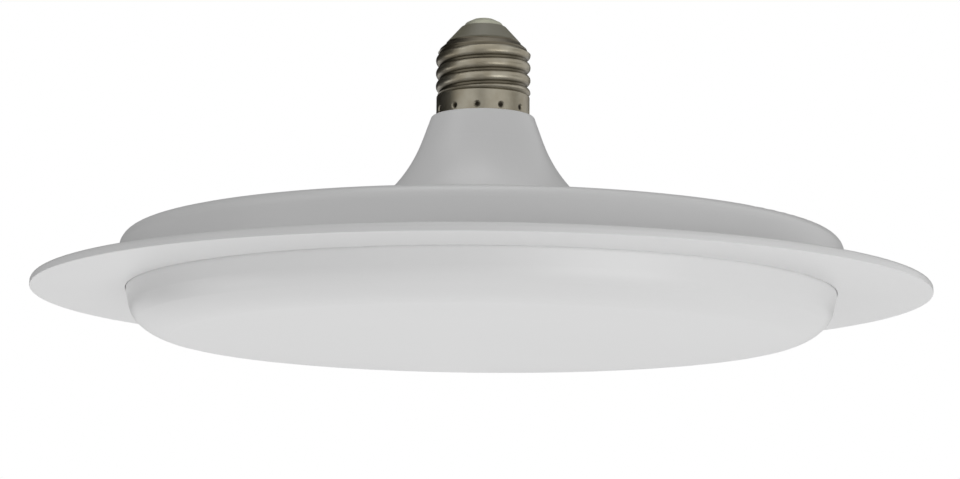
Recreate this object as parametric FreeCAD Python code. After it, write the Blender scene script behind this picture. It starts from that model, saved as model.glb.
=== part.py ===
import FreeCAD, Part
import math
import os

Vec = FreeCAD.Vector
UP = Vec(0, 0, 1)
FRONT = Vec(0, -1, 0)
BACK = Vec(0, 1, 0)

# Heights run down from the flat of the centre contact, which is z = 0.
cap_length = 27.7
neck_length = 33.0
pan_height = 17.5
diffuser_depth = 12.7

# Clearances
spigot_gap = 0.05
rim_gap = 0.05
stem_gap = 0.05
locating_gap = 0.15
diffuser_gap = 0.15
pilot_gap = 0.05
screw_tip_gap = 0.3
slot_gap = 0.1
lead_gap = 0.1
seat_gap = 0.05
cutter_reach = 1.0
arc_share = 0.98

# Screw shell of the cap, rolled from sheet, with the standard 7 turns per inch
thread_crest_radius = 13.15
thread_root_radius = 12.2
thread_pitch = 25.4 / 7
thread_width = 3.1
thread_root_bite = 0.6
thread_start_height = 3.07
thread_lead_out = 1.9
thread_lead_in = 0.4
shell_sheet = 0.3
shell_mouth_radius = 10.35
shell_mouth_depth = 6.9
shell_lip_height = 0.3
shell_shoulder_depth = 8.8
shell_shoulder_round = 0.8
shell_skirt_taper = 0.8
shell_skirt_round = 0.3
skirt_radius = 12.93
skirt_height = 5.5
spigot_height = 4.6
crimp_count = 12
crimp_first_angle = -7.3
crimp_ball_radius = 1.25
crimp_depth = 0.5
crimp_height = 1.4

# Centre contact and the insulator that it is riveted to
contact_flat_radius = 2.6
contact_flat_round = 2.0
contact_shoulder_radius = 5.0
contact_shoulder_depth = 1.2
contact_shoulder_round = 1.2
contact_radius = 5.7
contact_height = 2.3
stem_radius = 1.6
rivet_radius = 2.6
rivet_height = 0.8
rivet_round = 0.5
insulator_thickness = 2.6
insulator_rim_height = 1.6
insulator_land = 0.5
insulator_round = 0.4

# Neck: driver housing with a collar under the cap and a trumpet flare to the pan
neck_wall = 2.0
spigot_wall = 1.7
spigot_round = 0.3
collar_top_radius = 14.2
collar_round = 0.9
collar_base_radius = 16.5
collar_height = 6.4
flare_guide_radius = 24.0
flare_guide_drop = 20.2
flare_round = 47.0
neck_base_radius = 44.4
neck_base_edge = 1.0
neck_edge_round = 0.4
neck_screw_count = 4
neck_screw_circle = 29.5
neck_screw_first_angle = 45.0
neck_boss_radius = 3.3

# Back pan with its brim, moulded in one piece
mouth_wall = 3.75
pan_wall = 2.3
ledge_width = 1.5
pan_draft = 2.5
pan_round = 4.4
pan_crown = 1.9
pan_hole_radius = 22.0
brim_width = 21.9
brim_thickness = 2.4
brim_dish = 0.5
brim_edge_round = 1.3
brim_lower_round = 0.25
brim_root_round = 3.4
mouth_round = 0.2
neck_seat_margin = 1.0
locating_ring_height = 1.2
locating_ring_wall = 1.6
board_boss_radius = 3.6
pilot_radius = 1.15

# Diffuser, a moulded opal bowl with a skirt and snap lugs
diffuser_radius = 97.0
diffuser_wall = 1.6
diffuser_draft = 1.3
skirt_depth = 5.0
bowl_wall_drop = 6.3
bowl_upper_round = 9.6
bowl_shoulder_inset = 6.9
bowl_lower_round = 18.7
bowl_crown = 1.0
bowl_crown_inset = 30.9
bowl_crown_round = 350.0
snap_count = 8
snap_angle = 8.0
snap_height = 1.6
snap_reach = 0.9
snap_bite = 0.4
snap_end_gap = 0.3
snap_rise = 2.4

# Heat spreader and the aluminium-cored board under it
spreader_gap = 3.9
spreader_sheet = 1.2
spreader_rim_height = 4.0
spreader_round = 2.0
spreader_depth = 5.2
led_board_margin = 5.0
led_board_thickness = 1.6
wire_hole_radius = 7.0
board_screw_count = 6
led_length = 3.5
led_width = 2.8
led_height = 0.8
led_inner_ring = 26.0
led_edge_margin = 8.0
led_ring_counts = [12, 20, 28, 36]

# Self-tapping screws
screw_hole_radius = 1.6
screw_head_radius = 2.9
screw_head_height = 1.9
screw_head_round = 1.2
screw_tip_height = 1.2
board_screw_length = 6.5
neck_screw_length = 8.0
cross_width = 0.8
cross_length = 3.2
cross_depth = 1.0

# Wire connector on the lower face of the LED board
connector_start = 12.0
connector_length = 9.0
connector_width = 8.0
connector_height = 4.6
connector_hole_spacing = 3.5
connector_hole_radius = 0.8
connector_hole_depth = 5.0
connector_slot_size = (1.5, 1.6, 1.2)
connector_slot_margin = 1.5

# Driver board, upright in the neck across the axis
driver_thickness = 1.6
driver_top_rise = 3.7
driver_shoulder_drop = 14.3
driver_bottom_drop = 29.7
driver_top_width = 19.2
driver_bottom_width = 32.0
rail_width = 4.8
rail_overlap = 1.3
rail_stop_height = 1.5
rail_nib_opening = 0.8
lead_radius = 0.35
lead_stub = 1.2
lead_root = 0.5

# Leaded parts on the front of the driver board, each place as across and above the board's shoulder
resistor_place = (0.0, 15.2)
resistor_radius = 1.6
resistor_length = 6.6
resistor_round = 0.5
resistor_lead_spacing = 10.8
resistor_lead_bend = 1.0
film_place = (0.0, 10.6)
film_size = (10.0, 7.6, 4.0)
film_round = 0.6
film_lead_spacing = 7.5
varistor_place = (0.0, 5.8)
varistor_radius = 3.5
varistor_thickness = 3.0
varistor_round = 0.8
varistor_standoff = 0.8
varistor_lead_spacing = 5.0
choke_place = (-4.9, -0.4)
choke_radius = 3.6
choke_height = 8.0
choke_flange = 1.2
choke_waist_radius = 2.7
choke_winding_inset = 0.3
choke_lead_spacing = 4.0
output_capacitor_place = (4.2, 0.0)
output_capacitor_radius = 3.15
output_capacitor_height = 10.0
output_capacitor_lead_spacing = 2.5
bulk_capacitor_inset = 7.7
bulk_capacitor_rise = -9.6
bulk_capacitor_radius = 5.0
bulk_capacitor_height = 15.0
bulk_capacitor_lead_spacing = 5.0
can_round = 0.8
can_seal_round = 0.4
can_groove_depth = 0.5
can_groove_height = 1.6
transformer_place = (6.6, -9.6)
transformer_core_size = (14.0, 11.0, 4.4)
transformer_core_leg = 2.2
transformer_leg_radius = 2.1
bobbin_radius = 3.0
bobbin_flange_size = (8.6, 10.6)
bobbin_flange_thickness = 1.0
bobbin_standoff = 1.0
bobbin_pin_spacing = (3.0, 8.4)
winding_radius = 4.1

# Chips on the back of the driver board: place or inset from its side, then width, length and height
rectifier_place = (0.0, 11.0)
rectifier_size = (4.7, 4.0, 2.4)
rectifier_legs = 2
driver_chip_place = (-0.2, -5.4)
driver_chip_size = (4.9, 3.9, 1.6)
driver_chip_legs = 4
diode_inset = 4.0
diode_rise = -7.6
diode_size = (4.4, 3.6, 2.3)
diode_legs = 1
chip_leg_size = (0.42, 1.05, 0.2)
chip_leg_pitch = 1.27
chip_bevel = 0.3
chip_resistor_size = (1.25, 2.0, 0.55)
chip_resistor_pitch = 2.0
chip_resistor_count = 4
chip_resistor_inset = 3.0
chip_resistor_rise = -5.4
chip_capacitor_size = (1.6, 3.2, 1.1)
chip_capacitor_pitch = 3.4
chip_capacitor_count = 2
chip_capacitor_place = (5.2, 6.5)

# Insulated wires
lead_wire_radius = 0.6
lead_wire_bend = 3.6
input_wire_spacing = 6.0
input_wire_overlap = 0.8
input_wire_slope = 3.0
live_wire_drop = 5.0
neutral_wire_rise = 8.0
neutral_wire_clearance = 3.2
neutral_wire_slope = 1.7
output_wire_spacing = 3.8
output_wire_overlap = 3.4
output_wire_slope = 1.5
output_wire_offset = 0.8
output_wire_end_gap = 1.0

# Levels worked out from the driving heights
shell_rim_z = -cap_length
neck_base_z = shell_rim_z - neck_length
brim_z = neck_base_z - pan_height
diffuser_floor_z = brim_z - diffuser_depth
pan_ceiling_z = neck_base_z - pan_wall
spreader_top_z = pan_ceiling_z - spreader_depth
led_board_top_z = spreader_top_z - spreader_sheet
led_board_low_z = led_board_top_z - led_board_thickness
ledge_z = brim_z + skirt_depth
driver_top_z = shell_rim_z + driver_top_rise
driver_shoulder_z = shell_rim_z - driver_shoulder_drop
driver_bottom_z = shell_rim_z - driver_bottom_drop
mouth_radius = diffuser_radius + diffuser_gap
pan_radius = mouth_radius + mouth_wall
pan_top_radius = pan_radius - pan_draft
pan_inner_radius = mouth_radius - ledge_width
brim_radius = pan_radius + brim_width
spreader_radius = pan_inner_radius - spreader_gap
led_board_radius = spreader_radius - led_board_margin
spigot_radius = skirt_radius - shell_sheet - spigot_gap
bore_radius = spigot_radius - spigot_wall
board_face = driver_thickness / 2
led_outer_ring = led_board_radius - led_edge_margin
led_ring_step = (led_outer_ring - led_inner_ring) / (len(led_ring_counts) - 1)
board_screw_circle = led_outer_ring - led_ring_step / 2
bulk_capacitor_place = (bulk_capacitor_inset - driver_bottom_width / 2, bulk_capacitor_rise)
diode_place = (driver_bottom_width / 2 - diode_inset, diode_rise)
chip_resistor_place = (chip_resistor_inset - driver_bottom_width / 2, chip_resistor_rise)


def straight(start, end):
    return Part.LineSegment(start, end).toShape()


def unit(vector):
    return Vec(vector).normalize()


def rounded_edges(points, radii):
    """Straight edges through the points, with a tangent arc at each point that has a radius.

    An arc that is too large for the edges beside it is drawn in to what they leave."""
    last = len(points) - 1
    reaches = [0.0] * (last + 1)
    half_angles = [0.0] * (last + 1)
    for index in range(1, last):
        back = points[index - 1] - points[index]
        ahead = points[index + 1] - points[index]
        half_angles[index] = back.getAngle(ahead) / 2
        reaches[index] = radii[index] / math.tan(half_angles[index])
    for index in range(last):
        side = (points[index + 1] - points[index]).Length
        wanted = reaches[index] + reaches[index + 1]
        if wanted >= side:
            reaches[index] *= arc_share * side / wanted
            reaches[index + 1] *= arc_share * side / wanted
    edges = []
    start = points[0]
    for index in range(1, last):
        corner = points[index]
        if reaches[index] > 0:
            back = unit(points[index - 1] - corner)
            ahead = unit(points[index + 1] - corner)
            radius = reaches[index] * math.tan(half_angles[index])
            depth = radius / math.sin(half_angles[index]) - radius
            enter = corner + back * reaches[index]
            leave = corner + ahead * reaches[index]
            middle = corner + unit(back + ahead) * depth
            edges.append(straight(start, enter))
            edges.append(Part.Arc(enter, middle, leave).toShape())
            start = leave
        else:
            edges.append(straight(start, corner))
            start = corner
    edges.append(straight(start, points[-1]))
    return edges


def turned(corners):
    """Solid turned about the Z axis from a closed outline of (radius, height) or (radius, height, round)."""
    closed = corners + [corners[0]]
    points = [Vec(corner[0], 0, corner[1]) for corner in closed]
    radii = [corner[2] if len(corner) == 3 else 0 for corner in closed]
    wire = Part.Wire(rounded_edges(points, radii))
    return Part.Face(wire).revolve(Vec(0, 0, 0), UP, 360)


def offset_corners(corners, wall):
    """An open outline moved sideways by the wall, to the right of its direction of travel."""
    points = [Vec(corner[0], 0, corner[1]) for corner in corners]
    runs = [unit(points[index + 1] - points[index]) for index in range(len(points) - 1)]
    moved = []
    for index, corner in enumerate(corners):
        arriving = runs[max(index - 1, 0)]
        leaving = runs[min(index, len(runs) - 1)]
        normal = Vec(arriving.z, 0, -arriving.x)
        side = unit(normal + Vec(leaving.z, 0, -leaving.x))
        place = points[index] + side * (wall / side.dot(normal))
        if len(corner) == 3:
            turn = arriving.z * leaving.x - arriving.x * leaving.z
            radius = corner[2] - math.copysign(wall, turn)
            moved.append((place.x, place.z, max(radius, 0)))
        else:
            moved.append((place.x, place.z))
    return moved


def sheet(outline, wall):
    """Wall of even thickness turned from an open outline, to the right of its direction of travel."""
    return turned(outline + offset_corners(outline, wall)[::-1])


def rod(radius, start, end):
    """Round bar between two points."""
    return Part.makeCylinder(radius, (end - start).Length, start, end - start)


def upright_rod(radius, distance, low_z, high_z):
    """Round bar along the lamp's axis, at a distance from it towards +X."""
    return rod(radius, Vec(distance, 0, low_z), Vec(distance, 0, high_z))


def block(low, high):
    """Square-cornered block between two opposite corners."""
    size = high - low
    return Part.makeBox(size.x, size.y, size.z, low)


def joined(shapes):
    """One solid from shapes that overlap."""
    return shapes[0].fuse(shapes[1:]).removeSplitter()


def turned_to(shape, angle):
    """A copy turned about the lamp's axis."""
    copy = shape.copy()
    copy.rotate(Vec(0, 0, 0), UP, angle)
    return copy


def around(shape, count, first_angle=0.0):
    """Evenly spaced copies about the lamp's axis."""
    return [turned_to(shape, first_angle + 360 * index / count) for index in range(count)]


def save(name, shape):
    """Writes a sub-part, and stops if a solid in it is unsound."""
    if not shape.Solids:
        raise ValueError(name + " has no solid")
    for solid in shape.Solids:
        if not solid.isValid() or solid.Volume <= 0:
            raise ValueError(name + " has an unsound solid")
    shape.exportStep("parts/" + name + ".step")
    print(name, len(shape.Solids), "solids,", round(shape.Volume / 1000, 2), "cm3")


def shell_core(inset):
    """Body of the screw shell without its thread, drawn in by the inset."""
    top_z = -shell_mouth_depth
    root = thread_root_radius - inset
    skirt_z = shell_rim_z + skirt_height - inset
    return turned([
        (0, top_z),
        (shell_mouth_radius - inset, top_z),
        (shell_mouth_radius - inset, top_z - shell_lip_height),
        (root, -shell_shoulder_depth - inset, shell_shoulder_round),
        (root, skirt_z + shell_skirt_taper, shell_skirt_round),
        (skirt_radius - inset, skirt_z, shell_skirt_round),
        (skirt_radius - inset, shell_rim_z),
        (0, shell_rim_z),
    ])


def thread_ridge(inset):
    """Rolled ridge of the thread, which fades out into the shoulder above and the skirt below."""
    root = thread_root_radius - inset
    crest = thread_crest_radius - inset
    foot = root - thread_root_bite
    start_z = shell_rim_z + thread_start_height
    low_z = start_z - (thread_width - inset) / 2
    high_z = start_z + (thread_width - inset) / 2
    section = Part.Wire([
        straight(Vec(foot, 0, high_z), Vec(foot, 0, low_z)),
        straight(Vec(foot, 0, low_z), Vec(root, 0, low_z)),
        Part.Arc(Vec(root, 0, low_z), Vec(crest, 0, start_z), Vec(root, 0, high_z)).toShape(),
        straight(Vec(root, 0, high_z), Vec(foot, 0, high_z)),
    ])
    turns = math.ceil((-shell_mouth_depth - start_z) / thread_pitch)
    path = Part.makeHelix(thread_pitch, thread_pitch * turns, root)
    path.translate(Vec(0, 0, start_z))
    ridge = Part.Wire(path).makePipeShell([section], True, True)
    shoulder_z = -shell_shoulder_depth - inset
    skirt_z = shell_rim_z + skirt_height
    outer = crest + thread_root_bite
    envelope = turned([
        (0, shoulder_z),
        (root - thread_lead_in, shoulder_z),
        (outer, shoulder_z - thread_lead_out),
        (outer, skirt_z + thread_lead_out),
        (root - thread_lead_in, skirt_z - thread_lead_in),
        (0, skirt_z - thread_lead_in),
    ])
    return ridge.common(envelope)


def crimp_balls(radius):
    """Balls that shape the punched dimples round the skirt, where the shell is locked to the neck."""
    distance = skirt_radius - crimp_depth + crimp_ball_radius
    ball = Part.makeSphere(radius, Vec(0, -distance, shell_rim_z + crimp_height))
    return around(ball, crimp_count, crimp_first_angle)


def make_screw_shell():
    """Sheet shell: its inner surface follows the outer one at the thickness of the sheet."""
    outside = shell_core(0).fuse(thread_ridge(0))
    inside = shell_core(shell_sheet).fuse(thread_ridge(shell_sheet))
    top_z = -shell_mouth_depth
    mouth = upright_rod(shell_mouth_radius - shell_sheet, 0, top_z - cutter_reach, top_z + cutter_reach)
    rim = upright_rod(skirt_radius - shell_sheet, 0, shell_rim_z - cutter_reach, shell_rim_z + cutter_reach)
    bumps = [ball.common(outside) for ball in crimp_balls(crimp_ball_radius + shell_sheet)]
    return outside.cut([inside, mouth, rim]).fuse(bumps).cut(crimp_balls(crimp_ball_radius))


def make_centre_contact():
    """Domed button with a rivet stem through the insulator."""
    rivet_z = -contact_height - insulator_thickness
    return turned([
        (0, 0),
        (contact_flat_radius, 0, contact_flat_round),
        (contact_shoulder_radius, -contact_shoulder_depth, contact_shoulder_round),
        (contact_radius, -contact_height),
        (stem_radius, -contact_height),
        (stem_radius, rivet_z),
        (rivet_radius, rivet_z),
        (rivet_radius, rivet_z - rivet_height, rivet_round),
        (0, rivet_z - rivet_height),
    ])


def make_cap_insulator():
    """Cone between the contact and the shell, whose rim the mouth of the shell closes on."""
    rim_radius = shell_mouth_radius - shell_sheet - rim_gap
    rim_z = -shell_mouth_depth
    low_z = -contact_height - insulator_thickness
    return turned([
        (stem_radius + stem_gap, -contact_height),
        (contact_radius + insulator_land, -contact_height, insulator_round),
        (rim_radius, rim_z + insulator_round, insulator_round),
        (rim_radius, rim_z - insulator_rim_height),
        (rim_radius - insulator_thickness, rim_z - insulator_rim_height),
        (contact_radius, low_z),
        (stem_radius + stem_gap, low_z),
    ])


def neck_outline():
    """Outside of the neck from the collar down to the edge of its base."""
    collar_z = shell_rim_z - collar_height
    return [
        (collar_top_radius, shell_rim_z, collar_round),
        (collar_base_radius, collar_z),
        (flare_guide_radius, collar_z - flare_guide_drop, flare_round),
        (neck_base_radius, neck_base_z + neck_base_edge, neck_edge_round),
    ]


def neck_foot_radius(height):
    """Inner radius of the neck's straight foot at a height above its base."""
    flare, edge = offset_corners(neck_outline(), neck_wall)[2:]
    slope = (edge[0] - flare[0]) / (edge[1] - flare[1])
    return flare[0] + slope * (neck_base_z + height - flare[1])


def neck_hollow():
    """Everything inside the neck: the bore of the spigot, the collar and the flare."""
    collar, collar_base, flare = offset_corners(neck_outline(), neck_wall)[:3]
    foot_radius = neck_foot_radius(0)
    top_z = shell_rim_z + spigot_height + cutter_reach
    below_z = neck_base_z - cutter_reach
    return turned([
        (0, top_z),
        (bore_radius, top_z),
        (bore_radius, collar[1]),
        collar_base,
        flare,
        (foot_radius, neck_base_z),
        (foot_radius, below_z),
        (0, below_z),
    ])


def driver_rail(outer):
    """Rail on the neck's wall that holds one edge of the driver board, above two nibs."""
    inner_x = driver_bottom_width / 2 - rail_overlap
    slot_x = driver_bottom_width / 2 + slot_gap
    half_slot = board_face + slot_gap
    end_z = driver_bottom_z - rail_stop_height
    rail = block(
        Vec(inner_x, -rail_width / 2, end_z),
        Vec(neck_base_radius, rail_width / 2, driver_shoulder_z + rail_stop_height),
    )
    slot = block(
        Vec(inner_x - cutter_reach, -half_slot, driver_bottom_z - slot_gap),
        Vec(slot_x, half_slot, driver_shoulder_z + seat_gap),
    )
    nib_gap = block(
        Vec(inner_x - cutter_reach, -rail_nib_opening / 2, end_z - cutter_reach),
        Vec(slot_x, rail_nib_opening / 2, driver_bottom_z),
    )
    return rail.common(outer).cut([slot, nib_gap])


def make_neck_housing():
    """Moulded neck with its spigot, screw bosses and board rails."""
    spigot_z = shell_rim_z + spigot_height
    outer = turned([
        (0, spigot_z),
        (spigot_radius, spigot_z, spigot_round),
        (spigot_radius, shell_rim_z),
        *neck_outline(),
        (neck_base_radius, neck_base_z),
        (0, neck_base_z),
    ])
    boss = upright_rod(neck_boss_radius, neck_screw_circle, neck_base_z, shell_rim_z).common(outer)
    pilot_end_z = pan_ceiling_z + neck_screw_length + screw_tip_gap
    pilot = upright_rod(pilot_radius, neck_screw_circle, neck_base_z - cutter_reach, pilot_end_z)
    bosses = around(boss, neck_screw_count, neck_screw_first_angle)
    pilots = around(pilot, neck_screw_count, neck_screw_first_angle)
    rails = around(driver_rail(outer), 2)
    recesses = crimp_balls(crimp_ball_radius + shell_sheet + spigot_gap)
    return joined([outer.cut(neck_hollow())] + bosses + rails).cut(pilots + recesses)


def make_back_pan():
    """Pan and brim in one moulding, with the ledge and windows that take the diffuser."""
    corner_z = neck_base_z - pan_crown
    brim_top_z = brim_z + brim_thickness
    seat_radius = neck_base_radius + neck_seat_margin
    pan = turned([
        (pan_hole_radius, neck_base_z),
        (seat_radius, neck_base_z),
        (pan_top_radius, corner_z, pan_round),
        (pan_radius, brim_top_z, brim_root_round),
        (brim_radius, brim_top_z, brim_edge_round),
        (brim_radius, brim_z, brim_lower_round),
        (mouth_radius, brim_z + brim_dish, mouth_round),
        (mouth_radius, ledge_z),
        (pan_inner_radius, ledge_z),
        (pan_inner_radius, corner_z - pan_wall, pan_round - pan_wall),
        (seat_radius, pan_ceiling_z),
        (pan_hole_radius, pan_ceiling_z),
    ])
    ring_radius = neck_foot_radius(locating_ring_height) - locating_gap
    ring_root_z = neck_base_z - pan_wall / 2
    ring = turned([
        (ring_radius - locating_ring_wall, ring_root_z),
        (ring_radius, ring_root_z),
        (ring_radius, neck_base_z + locating_ring_height),
        (ring_radius - locating_ring_wall, neck_base_z + locating_ring_height),
    ])
    boss = upright_rod(board_boss_radius, board_screw_circle, spreader_top_z, pan_ceiling_z)
    pilot_end_z = led_board_low_z + board_screw_length + screw_tip_gap
    pilot = upright_rod(pilot_radius, board_screw_circle, spreader_top_z - cutter_reach, pilot_end_z)
    hole = upright_rod(
        screw_hole_radius, neck_screw_circle, pan_ceiling_z - cutter_reach, neck_base_z + cutter_reach
    )
    holes = around(hole, neck_screw_count, neck_screw_first_angle)
    pilots = around(pilot, board_screw_count)
    return joined([pan, ring] + around(boss, board_screw_count)).cut(pilots + holes + snap_windows())


def snap_sector(outline, sweep):
    """Sectors of a turned outline round the diffuser's skirt."""
    points = [Vec(radius, 0, height) for radius, height in outline + outline[:1]]
    piece = Part.Face(Part.makePolygon(points)).revolve(Vec(0, 0, 0), UP, sweep)
    return around(piece, snap_count, 180 / snap_count - sweep / 2)


def snap_lugs():
    """Wedges on the skirt: square below, where they hold, and sloped above, where they ride in."""
    low_z = brim_z + snap_rise
    return snap_sector([
        (diffuser_radius - snap_bite, low_z),
        (diffuser_radius + snap_reach, low_z),
        (diffuser_radius + snap_reach, low_z + snap_height / 2),
        (diffuser_radius - snap_bite, low_z + snap_height),
    ], snap_angle)


def snap_windows():
    """Pockets in the pan's mouth that the lugs click into."""
    low_z = brim_z + snap_rise - diffuser_gap
    high_z = brim_z + snap_rise + snap_height + diffuser_gap
    reach = diffuser_radius + snap_reach + diffuser_gap
    return snap_sector([
        (diffuser_radius - snap_bite, low_z),
        (reach, low_z),
        (reach, high_z),
        (diffuser_radius - snap_bite, high_z),
    ], snap_angle + 2 * snap_end_gap)


def make_diffuser():
    """Opal bowl with a drafted wall, a two-radius shoulder, a faintly crowned floor and a skirt."""
    bowl = sheet([
        (diffuser_radius, ledge_z),
        (diffuser_radius, brim_z),
        (diffuser_radius - diffuser_draft, brim_z - bowl_wall_drop, bowl_upper_round),
        (diffuser_radius - bowl_shoulder_inset, diffuser_floor_z + bowl_crown, bowl_lower_round),
        (diffuser_radius - bowl_crown_inset, diffuser_floor_z, bowl_crown_round),
        (0, diffuser_floor_z),
    ], diffuser_wall)
    return joined([bowl] + snap_lugs())


def screw_holes_through(low_z, high_z):
    """Clearance holes for the board screws."""
    hole = upright_rod(screw_hole_radius, board_screw_circle, low_z - cutter_reach, high_z + cutter_reach)
    return around(hole, board_screw_count)


def make_heat_spreader():
    """Pressed aluminium disc with a turned-up rim, which backs the LED board."""
    disc = sheet([
        (spreader_radius, led_board_top_z + spreader_rim_height),
        (spreader_radius, led_board_top_z, spreader_round),
        (wire_hole_radius, led_board_top_z),
    ], spreader_sheet)
    return disc.cut(screw_holes_through(led_board_top_z, spreader_top_z))


def make_led_board():
    """Round aluminium-cored circuit board with a hole for the wires."""
    disc = upright_rod(led_board_radius, 0, led_board_low_z, led_board_top_z)
    wire_hole = upright_rod(
        wire_hole_radius, 0, led_board_low_z - cutter_reach, led_board_top_z + cutter_reach
    )
    return disc.cut([wire_hole] + screw_holes_through(led_board_low_z, led_board_top_z))


def make_led_packages():
    """Surface-mounted LEDs in rings, each with its length along the ring."""
    packages = []
    for index, count in enumerate(led_ring_counts):
        radius = led_inner_ring + index * led_ring_step
        package = block(
            Vec(radius - led_width / 2, -led_length / 2, led_board_low_z - led_height),
            Vec(radius + led_width / 2, led_length / 2, led_board_low_z),
        )
        packages += around(package, count, 180 / count)
    return Part.makeCompound(packages)


def screw(seat_z, length, circle):
    """Pan-head screw that points up from its seat, with a cross recess and a pointed tip."""
    shank_radius = pilot_radius - pilot_gap
    head_z = seat_z - screw_head_height
    body = turned([
        (0, head_z),
        (screw_head_radius, head_z, screw_head_round),
        (screw_head_radius, seat_z),
        (shank_radius, seat_z),
        (shank_radius, seat_z + length - screw_tip_height),
        (0, seat_z + length),
    ])
    slots = []
    for across, along in ((cross_width, cross_length), (cross_length, cross_width)):
        corner = Vec(across / 2, along / 2, 0)
        below = Vec(0, 0, head_z - cutter_reach)
        floor = Vec(0, 0, head_z + cross_depth)
        slots.append(block(below - corner, floor + corner))
    body = body.cut(slots)
    body.translate(Vec(circle, 0, 0))
    return body


def make_board_screws():
    """Screws through the LED board and the spreader into the pan's bosses."""
    one = screw(led_board_low_z, board_screw_length, board_screw_circle)
    return Part.makeCompound(around(one, board_screw_count))


def make_neck_screws():
    """Screws from inside the pan up into the neck's bosses."""
    one = screw(pan_ceiling_z, neck_screw_length, neck_screw_circle)
    return Part.makeCompound(around(one, neck_screw_count, neck_screw_first_angle))


def connector_wire_z():
    """Height of the wires where they enter the connector."""
    return led_board_low_z - connector_height / 2


def make_wire_connector():
    """Push-in connector whose two holes face the wires, with a release slot behind each."""
    low_z = led_board_low_z - connector_height
    end_x = connector_start + connector_length
    slot_length, slot_width, slot_depth = connector_slot_size
    slot_x = end_x - connector_slot_margin
    half_width = connector_width / 2
    body = block(Vec(connector_start, -half_width, low_z), Vec(end_x, half_width, led_board_low_z))
    openings = []
    for side in (-1, 1):
        y = side * connector_hole_spacing / 2
        mouth = Vec(connector_start - cutter_reach, y, connector_wire_z())
        inner = Vec(connector_start + connector_hole_depth, y, connector_wire_z())
        openings.append(rod(connector_hole_radius, mouth, inner))
        openings.append(block(
            Vec(slot_x - slot_length, y - slot_width / 2, low_z - cutter_reach),
            Vec(slot_x, y + slot_width / 2, low_z + slot_depth),
        ))
    return body.cut(openings)


def driver_point(place, y):
    """Point over a place on the driver board, which is given across and above its shoulder."""
    return Vec(place[0], y, driver_shoulder_z + place[1])


def front_point(place, reach):
    """Point in front of the driver board's front face."""
    return driver_point(place, -board_face - reach)


def across_pair(place, spacing):
    """Two lead places side by side."""
    return [(place[0] + side * spacing / 2, place[1]) for side in (-1, 1)]


def lead_places():
    """Where each leaded part's leads pass through the driver board."""
    choke_x, choke_z = choke_place
    column, row = bobbin_pin_spacing
    upper = (transformer_place[0], transformer_place[1] + row / 2)
    lower = (transformer_place[0], transformer_place[1] - row / 2)
    return {
        "resistor": across_pair(resistor_place, resistor_lead_spacing),
        "film": across_pair(film_place, film_lead_spacing),
        "varistor": across_pair(varistor_place, varistor_lead_spacing),
        "choke": [(choke_x, choke_z + side * choke_lead_spacing / 2) for side in (-1, 1)],
        "output": across_pair(output_capacitor_place, output_capacitor_lead_spacing),
        "bulk": across_pair(bulk_capacitor_place, bulk_capacitor_lead_spacing),
        "transformer": across_pair(upper, column) + across_pair(lower, column),
    }


def leads(part, reach):
    """Leads of a part, from inside its body through the board to a short stub behind it."""
    return [
        rod(lead_radius, front_point(place, reach), driver_point(place, board_face + lead_stub))
        for place in lead_places()[part]
    ]


def stood_on_board(body, place, gap):
    """A body modelled upright, laid over so that it stands off the board's front face."""
    body.rotate(Vec(0, 0, 0), Vec(1, 0, 0), 90)
    body.translate(front_point(place, gap))
    return body


def make_driver_board():
    """Circuit board with a narrow top that reaches into the cap."""
    top = block(
        Vec(-driver_top_width / 2, -board_face, driver_shoulder_z - cutter_reach),
        Vec(driver_top_width / 2, board_face, driver_top_z),
    )
    bottom = block(
        Vec(-driver_bottom_width / 2, -board_face, driver_bottom_z),
        Vec(driver_bottom_width / 2, board_face, driver_shoulder_z),
    )
    holes = []
    for places in lead_places().values():
        for place in places:
            start = driver_point(place, -driver_thickness)
            holes.append(rod(lead_radius + lead_gap, start, driver_point(place, driver_thickness)))
    return joined([top, bottom]).cut(holes)


def can(part, place, radius, height):
    """Electrolytic capacitor that stands off the board, with the rolled groove near its seal."""
    groove_z = can_groove_height
    body = turned([
        (0, 0),
        (radius, 0, can_seal_round),
        (radius, groove_z),
        (radius - can_groove_depth, groove_z + can_groove_depth),
        (radius, groove_z + 2 * can_groove_depth),
        (radius, height, can_round),
        (0, height),
    ])
    return joined([stood_on_board(body, place, seat_gap)] + leads(part, seat_gap + lead_root))


def make_bulk_capacitor():
    return can("bulk", bulk_capacitor_place, bulk_capacitor_radius, bulk_capacitor_height)


def make_output_capacitor():
    return can("output", output_capacitor_place, output_capacitor_radius, output_capacitor_height)


def make_film_capacitor():
    """Moulded box capacitor across the mains input."""
    width, height, thickness = film_size
    half = Vec(width / 2, 0, thickness / 2)
    body = block(front_point(film_place, seat_gap + height) - half, front_point(film_place, seat_gap) + half)
    upright = [edge for edge in body.Edges if edge.BoundBox.YLength > height / 2]
    return joined([body.makeFillet(film_round, upright)] + leads("film", seat_gap + lead_root))


def make_varistor():
    """Round disc on two legs, which clamps surges from the mains."""
    reach = varistor_standoff + varistor_radius
    centre = front_point(varistor_place, reach)
    half = Vec(0, 0, varistor_thickness / 2)
    disc = rod(varistor_radius, centre - half, centre + half)
    rims = [edge for edge in disc.Edges if edge.BoundBox.ZLength < varistor_thickness / 2]
    return joined([disc.makeFillet(varistor_round, rims)] + leads("varistor", reach))


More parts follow.
